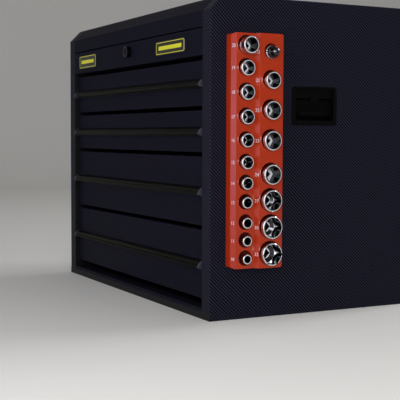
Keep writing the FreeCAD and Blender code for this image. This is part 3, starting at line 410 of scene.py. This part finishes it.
def chrome_material(name, axis, lip, floor_below):
    """Chrome-vanadium steel, ground, polished and chromed: a mirror outside that shows the room as
    light and dark bands, painted shade that darkens the walls inside the lip's radius, a rim that is
    part satin with a pale painted highlight, and a satin floor below the given place along X that
    carries the same pale painted highlight."""
    made, tree, shader = new_material(name)
    noise = grain(tree, shader, 1.2 * MM, METAL_GRAIN)
    place = add(tree, "TexCoord").outputs["Object"]
    away = add(tree, "VectorMath", {0: place, 1: axis}, operation="SUBTRACT")
    away = add(tree, "VectorMath", {0: away, 1: (0, 1, 1)}, operation="MULTIPLY")
    reach = add(tree, "VectorMath", {0: away}, operation="LENGTH").outputs["Value"]
    # Within half a millimetre the painted shade inside the mouth gives way to the bright lip round it.
    outside = add(tree, "MapRange", {0: reach, 1: lip - LEAD_IN, 2: lip, 3: 0.0, 4: 1.0})
    # The walls inside the lip stay smooth chrome but carry painted shade; what is square to the axis
    # is satin with a pale painted highlight: all of the floor, and the rim by its share.
    along = add(tree, "SeparateXYZ", {0: add(tree, "TexCoord").outputs["Normal"]}).outputs["X"]
    along = add(tree, "Math", {0: along}, operation="ABSOLUTE")
    cut = add(tree, "MapRange", {0: along, 1: SQUARE_FROM, 2: 1.0, 3: 0.0, 4: 1.0})
    inside = add(tree, "Math", {0: 1.0, 1: outside}, operation="SUBTRACT")
    deep = add(tree, "SeparateXYZ", {0: place}).outputs["X"]
    deep = add(tree, "Math", {0: deep, 1: floor_below}, operation="LESS_THAN")
    satin = add(tree, "Math", {0: cut, 1: inside}, operation="MULTIPLY")
    rim = add(tree, "Math", {0: cut, 1: outside}, operation="MULTIPLY")
    rim = add(tree, "Math", {0: rim, 1: RIM_SATIN_AND_HIGHLIGHT}, operation="MULTIPLY")
    satin = add(tree, "Mix", {0: deep, 2: rim, 3: satin}, data_type="FLOAT").outputs[0]
    bright = blotched(tree, noise, "bcbdc4", "d4d5da")
    # Painted shade for the walls inside the lip, and a pale painted highlight for the floor and the
    # rim's share.
    wall, pale_painted_highlight = linear("3e3f43"), linear("ececf2")
    colour = add(tree, "Mix", {0: outside, MIX_A: wall, MIX_B: bright}, data_type="RGBA")
    colour = colour.outputs[MIX_RESULT]
    colour = add(tree, "Mix", {0: satin, MIX_A: colour, MIX_B: pale_painted_highlight}, data_type="RGBA")
    rough = add(tree, "MapRange", {0: satin, 1: 0.0, 2: 1.0, 3: CHROME_ROUGH, 4: SATIN_ROUGH})
    metal = add(tree, "MapRange", {0: satin, 1: 0.0, 2: 1.0, 3: CHROME_METAL, 4: SATIN_METAL})
    feed(tree, shader, Base_Color=colour.outputs[MIX_RESULT], Roughness=rough, Metallic=metal)
    return made


# ---------------------------------------------------------------------------
# Settings
# ---------------------------------------------------------------------------
class FilmSettings(bpy.types.PropertyGroup):
    """Weave and finish of the film on the sheet steel"""

    across: FloatProperty(name="Yarn width", description="Width of one yarn of the twill look",
                          default=2.12 * MM, unit="LENGTH")
    rising: FloatProperty(name="Yarn height", description="Height of one yarn of the twill look",
                          default=2.0 * MM, unit="LENGTH")
    rough_light: FloatProperty(name="Light yarn roughness",
                               description="Roughness of the light yarns",
                               default=0.34, min=0, max=1)
    rough_dark: FloatProperty(name="Dark yarn roughness",
                              description="Roughness of the dark yarns",
                              default=0.5, min=0, max=1)
    shine: FloatProperty(name="Shine", description="Strength of the film's reflections",
                         default=0.05, min=0, max=1)
    # The fronts' share is a painted shade that darkens the film on the fronts.
    painted_front_shade: FloatProperty(name="Tone of the fronts",
                              description="Share of the light yarn's tone on the fronts",
                              default=0.7, min=0, max=1)
    yarn_light: StringProperty(name="Light yarn", description="sRGB hex colour", default="343449")
    yarn_dark: StringProperty(name="Dark yarn", description="sRGB hex colour", default="000001")


class StageSettings(bpy.types.PropertyGroup):
    """Size of the studio floor and the camera's lens"""

    radius: FloatProperty(name="Floor radius", description="Flat part of the round studio floor",
                          default=4.0, unit="LENGTH")
    lens: FloatProperty(name="Lens", description="Focal length in millimetres", default=88.62)


# ---------------------------------------------------------------------------
# Pieces
# ---------------------------------------------------------------------------
class CHEST_OT_film(bpy.types.Operator):
    """Carbon-look film over the case, lid and drawer faces"""

    bl_idname = "chest.film"
    bl_label = "Film on the sheet steel"

    def execute(self, context):
        settings = context.scene.chest_film
        sides = film_material("laminated_carbon_film", settings, settings.shine)
        finish_nodes(sides, "side_right", "side_left")
        # The fronts' film is a darker copy of the sides' film: the darkening is painted shade.
        fronts = film_material("laminated_carbon_film_fronts_shaded", settings,
                               FRONT_SHINE * settings.shine, settings.painted_front_shade)
        finish_nodes(fronts, "header", "lid", "bottom_rail", *[f"drawer_{i}" for i in DRAWERS])
        return {"FINISHED"}


class CHEST_OT_paint(bpy.types.Operator):
    """Textured powder coat on the sheets that carry no film"""

    bl_idname = "chest.paint"
    bl_label = "Powder coat"

    def execute(self, context):
        # Polyester powder, baked to a fine orange peel: an even dull black with no highlights.
        coat = paint_material("textured_powder_coat", "060607", "0c0c0e", 0.5, 0.8 * MM, 0.04 * MM,
                              shine=0.15)
        finish_nodes(coat, "side_liners", "floor_panel", "back_panel", "till_floor")
        return {"FINISHED"}


class CHEST_OT_pulls(bpy.types.Operator):
    """Black anodised extrusions with grey end caps"""

    bl_idname = "chest.pulls"
    bl_label = "Drawer pulls"

    def execute(self, context):
        # Extruded aluminium, anodised black: the dyed oxide hides the metal, so it hardly mirrors,
        # and the die's fine lines run along the pull.
        anodised = metal_material("black_anodised_aluminium", "050503", "0b0b08", 0.3,
                                  (0.03, 1, 1), 0.35 * MM, metallic=0.03, shine=0.04)
        finish_nodes(anodised, *[f"pull_{i}" for i in DRAWERS])
        # Moulded polypropylene: a bluish grey, paler and softer than the pull that it closes.
        cap = plastic_material("moulded_grey_polypropylene", "2a2a37", "343442", 0.42,
                               0.6 * MM, 0.02 * MM)
        finish_nodes(cap, *[f"pull_caps_{i}" for i in DRAWERS])
        return {"FINISHED"}


class CHEST_OT_handles(bpy.types.Operator):
    """Grained black plastic of the side handles"""

    bl_idname = "chest.handles"
    bl_label = "Side handles"

    def execute(self, context):
        # Polypropylene from an etched mould: the grain scatters the light to a soft, deep black.
        grained = plastic_material("grained_black_polypropylene", "010102", "040405", 0.55,
                                   1.1 * MM, 0.12 * MM, shine=0.06)
        finish_nodes(grained, "handle_pan_right", "handle_pan_left")
        # The same plastic from a smoother mould: a faint sheen along the grip's upper edge.
        smooth = plastic_material("smooth_black_polypropylene", "010101", "040404", 0.42,
                                  0.7 * MM, 0.03 * MM, shine=0.05)
        finish_nodes(smooth, "grip_right", "grip_left")
        return {"FINISHED"}


class CHEST_OT_lock(bpy.types.Operator):
    """Lock with a dark chromed collar and a black barrel"""

    bl_idname = "chest.lock"
    bl_label = "Lock"

    def execute(self, context):
        # Die-cast zinc, chromed dark: a near-black ring with small hard highlights.
        collar = metal_material("dark_chromed_zinc", "3c3c44", "50505a", 0.14, (1, 1, 1), 0.5 * MM)
        finish_nodes(collar, "lock_collar")
        # Die-cast zinc under black enamel: its face stays black where the film beside it shines.
        barrel = metal_material("black_enamelled_zinc", "0e0e11", "18181c", 0.3, (1, 1, 1), 0.5 * MM,
                                metallic=0.03, shine=0.03)
        finish_nodes(barrel, "lock_barrel")
        return {"FINISHED"}


class CHEST_OT_badges(bpy.types.Operator):
    """Two badges without words on the lock rail: a yellow bar and outline on a black field"""

    bl_idname = "chest.badges"
    bl_label = "Badges"

    def execute(self, context):
        # Acrylic, moulded in a polished tool: a deep black with a clear reflection.
        field = plastic_material("gloss_black_acrylic", "09090a", "0c0c0d", 0.18, 1.5 * MM, 0.01 * MM)
        # Yellow ink, screen-printed thick: an even bright tone with hardly any gloss.
        yellow = plastic_material("yellow_screen_print", "c3c31a", "d0cf22", 0.4, 0.5 * MM, 0.01 * MM)
        for name, left, right, low, high in BADGES:
            middle = (MM * (left + right) / 2, HEADER_FACE, MM * (low + high) / 2)
            half_wide, half_tall = MM * (right - left) / 2, MM * (high - low) / 2
            plaque(f"badge_{name}_plate", middle, half_wide, half_tall, BADGE_CORNER, BADGE_THICK,
                   field, "case")
            raised = (middle[0], middle[1] - BADGE_THICK, middle[2])
            frame_band(f"badge_{name}_outline", raised, half_wide - LINE_INSET,
                       half_tall - LINE_INSET, LINE_CORNER, LINE_WIDE, PRINT_THICK, yellow, "case")
            plaque(f"badge_{name}_bar", raised, half_wide - BAR_INSET, BAR_HALF_TALL, BAR_CORNER,
                   PRINT_THICK, yellow, "case", soft=PRINT_SOFT)
        return {"FINISHED"}


class CHEST_OT_slides(bpy.types.Operator):
    """Zinc-plated slides and hinge"""

    bl_idname = "chest.slides"
    bl_label = "Slides and hinge"

    def execute(self, context):
        # Rolled steel, bright zinc-plated: pale grey, with the mill's lines along the slides.
        zinc = metal_material("zinc_plated_steel", "8f9298", "b2b4b8", 0.32, (1, 0.05, 1), 0.8 * MM)
        finish_nodes(zinc, "slide_rails", "hinge_case_leaf", "hinge_lid_leaf",
                     *[f"slide_middle_{i}" for i in DRAWERS], *[f"slide_inner_{i}" for i in DRAWERS])
        return {"FINISHED"}


class CHEST_OT_tray(bpy.types.Operator):
    """Red moulded tray, its steel back and its white size numbers"""

    bl_idname = "chest.tray"
    bl_label = "Socket tray"

    def execute(self, context):
        # ABS, dyed through and moulded in a fine-sparked tool: a full red with broad soft highlights.
        red = plastic_material("moulded_red_abs", "962709", "a02c0d", 0.24, 0.9 * MM, 0.02 * MM,
                               shine=0.4)
        finish_nodes(red, "tray_shell")
        # Steel sheet, hot-dip galvanised: a dull grey with a patchy spangle.
        steel = metal_material("galvanised_plate", "7d8086", "9a9da2", 0.4, (1, 1, 1), 3 * MM)
        finish_nodes(steel, "tray_base")
        # White ink, pad-printed: flat and a little warm from the red that shows through.
        white = plastic_material("white_pad_print", "c4b8bd", "d2c8cc", 0.45, 0.4 * MM, 0.01 * MM)
        slopes = {
            "small": (TRAY_LOW.x + LOW_SLOPE[0], TRAY_LOW.y + LOW_SLOPE[1], LOW_RUN),
            "large": (TRAY_LOW.x + HIGH_SLOPE[0], RAMP_START + HIGH_SLOPE[1], HIGH_RUN),
        }
        marks = {"small": [], "large": []}
        for name in (*SOCKETS, ADAPTER):
            low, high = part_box(name)
            column = "small" if name != ADAPTER and low.y < TRAY_LOW.y + SMALL_REACH else "large"
            x, y, run = slopes[column]
            text = "1/2" if name == ADAPTER else name[7:]
            marks[column].append((text, Vector((x, y, (low.z + high.z) / 2)), run, (0, 0, 1)))
        for column, texts in marks.items():
            digits(f"size_numbers_{column}", texts, FIGURE_TALL, FIGURE_PROUD, white, "tray")
        return {"FINISHED"}


def mouth_radius(name, foot):
    """Radius of a socket's flat mouth: the distance from the axis of the farthest point at its
    open end."""
    shell = NODES[name].data
    points = np.empty(3 * len(shell.vertices))
    shell.vertices.foreach_get("co", points)
    points = points.reshape(-1, 3)
    mouth = points[points[:, 0] > points[:, 0].max() - MOUTH_FLAT]
    return float(np.hypot(mouth[:, 1] - foot[1], mouth[:, 2] - foot[2]).max())


class CHEST_OT_sockets(bpy.types.Operator):
    """Chromed sockets with a knurled band round each"""

    bl_idname = "chest.sockets"
    bl_label = "Sockets"

    def execute(self, context):
        for name in (*SOCKETS, ADAPTER):
            low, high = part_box(name)
            radius = (high.y - low.y) / 2
            foot = (low.x, (low.y + high.y) / 2, (low.z + high.z) / 2)
            # The adapter ends in a square drive: it has no mouth, and no knurled band.
            # The adapter has no mouth, so the same dark painted shade covers all of it narrower than its
            # widest part.
            mouth = radius if name == ADAPTER else mouth_radius(name, foot)
            floor_below = low.x if name == ADAPTER else high.x - FLOOR_DEEP
            chrome = chrome_material(f"polished_chrome_{name[7:]}", foot, mouth - LIP_WIDE,
                                     floor_below)
            finish_nodes(chrome, name)
            if name == ADAPTER:
                continue
            start = SHORT_START if high.x - low.x < SHORT_SOCKET else LONG_START
            ridges = int(radius / MM * RIDGES_PER_MM) * 2
            knurled_ring(f"knurl_{name[7:]}", foot, radius, start, BAND_LONG, ridges, RIDGE_PROUD,
                         chrome, name)
        return {"FINISHED"}


class CHEST_OT_stage(bpy.types.Operator):
    """Pale round studio floor, soft lamps and camera"""

    bl_idname = "chest.stage"
    bl_label = "Stage"

    def execute(self, context):
        scene = context.scene
        settings = scene.chest_stage
        # A flat disc that turns up into a wall: the profile's arc is turned about the Z axis.
        bend = np.linspace(0, np.pi / 2, 16)
        reach = [[0.001, 1.0, settings.radius], settings.radius + WALL_BEND * np.sin(bend)]
        reach = np.concatenate(reach)
        rise = np.concatenate([[0, 0, 0], WALL_BEND * (1 - np.cos(bend))])
        reach, rise = np.append(reach, reach[-1]), np.append(rise, WALL_TOP)
        turn = np.linspace(0, 2 * np.pi, FLOOR_STEPS, endpoint=False)
        points = np.stack([reach[:, None] * np.cos(turn), reach[:, None] * np.sin(turn),
                           rise[:, None] + 0 * turn], -1)
        # Rows run outwards, so the faces are turned to look up and inwards.
        faces = [face[::-1] for face in grid_faces(len(reach), FLOOR_STEPS)]
        # Painted board, rolled on: pale and dull, so that it takes soft shadows.
        floor = plastic_material("pale_studio_floor", "dcdbd8", "e0dfdc", 0.7, 0.5, 0.0)
        make_piece("studio_floor", points, faces, floor, None)

        world = bpy.data.worlds.new("studio")
        scene.world = world
        world.use_nodes = True
        room = world.node_tree.nodes["Background"].inputs
        room["Color"].default_value = (1, 1, 1, 1)
        room["Strength"].default_value = AMBIENT

        for name, place, size, power, tint in LAMPS:
            lamp = bpy.data.lights.new(name, "AREA")
            lamp.shape, lamp.size, lamp.size_y = "RECTANGLE", *size
            lamp.energy, lamp.color = power, linear(tint)[:3]
            made = bpy.data.objects.new(name, lamp)
            made.location = place
            towards = Vector(AIM) - Vector(place)
            made.rotation_euler = towards.to_track_quat("-Z", "Y").to_euler()
            scene.collection.objects.link(made)

        camera = bpy.data.cameras.new("camera")
        camera.sensor_width, camera.lens = 36.0, settings.lens
        camera.clip_start, camera.clip_end = 0.05, 50
        eye = bpy.data.objects.new("camera", camera)
        eye.location = EYE
        look = Vector((-np.sin(YAW) * np.cos(PITCH), np.cos(YAW) * np.cos(PITCH), np.sin(PITCH)))
        level = look.to_track_quat("-Z", "Y").to_matrix()
        eye.rotation_euler = (level @ Euler((0, 0, ROLL)).to_matrix()).to_euler()
        scene.collection.objects.link(eye)
        scene.camera = eye
        scene.view_settings.view_transform = "Standard"
        return {"FINISHED"}


PIECES = (CHEST_OT_film, CHEST_OT_paint, CHEST_OT_pulls, CHEST_OT_handles, CHEST_OT_lock,
          CHEST_OT_badges, CHEST_OT_slides, CHEST_OT_tray, CHEST_OT_sockets, CHEST_OT_stage)


class CHEST_PT_sidebar(bpy.types.Panel):
    """Lists every piece of the chest and its settings"""

    bl_idname = "CHEST_PT_sidebar"
    bl_label = "Drawer chest"
    bl_space_type = "VIEW_3D"
    bl_region_type = "UI"
    bl_category = "Drawer chest"

    def draw(self, context):
        for group in (context.scene.chest_film, context.scene.chest_stage):
            for name in group.__annotations__:
                self.layout.prop(group, name)
        for piece in PIECES:
            self.layout.operator(piece.bl_idname)


CLASSES = (FilmSettings, StageSettings, *PIECES, CHEST_PT_sidebar)


def register():
    """Registers the classes and hangs the settings on the scene."""
    for one in CLASSES:
        bpy.utils.register_class(one)
    bpy.types.Scene.chest_film = PointerProperty(type=FilmSettings)
    bpy.types.Scene.chest_stage = PointerProperty(type=StageSettings)


def unregister():
    """Takes the settings off the scene and unregisters the classes in reverse order."""
    del bpy.types.Scene.chest_film
    del bpy.types.Scene.chest_stage
    for one in reversed(CLASSES):
        bpy.utils.unregister_class(one)


def main():
    """Makes every piece in order."""
    register()
    for piece in PIECES:
        area, action = piece.bl_idname.split(".")
        getattr(getattr(bpy.ops, area), action)()


if __name__ == "__main__":
    main()
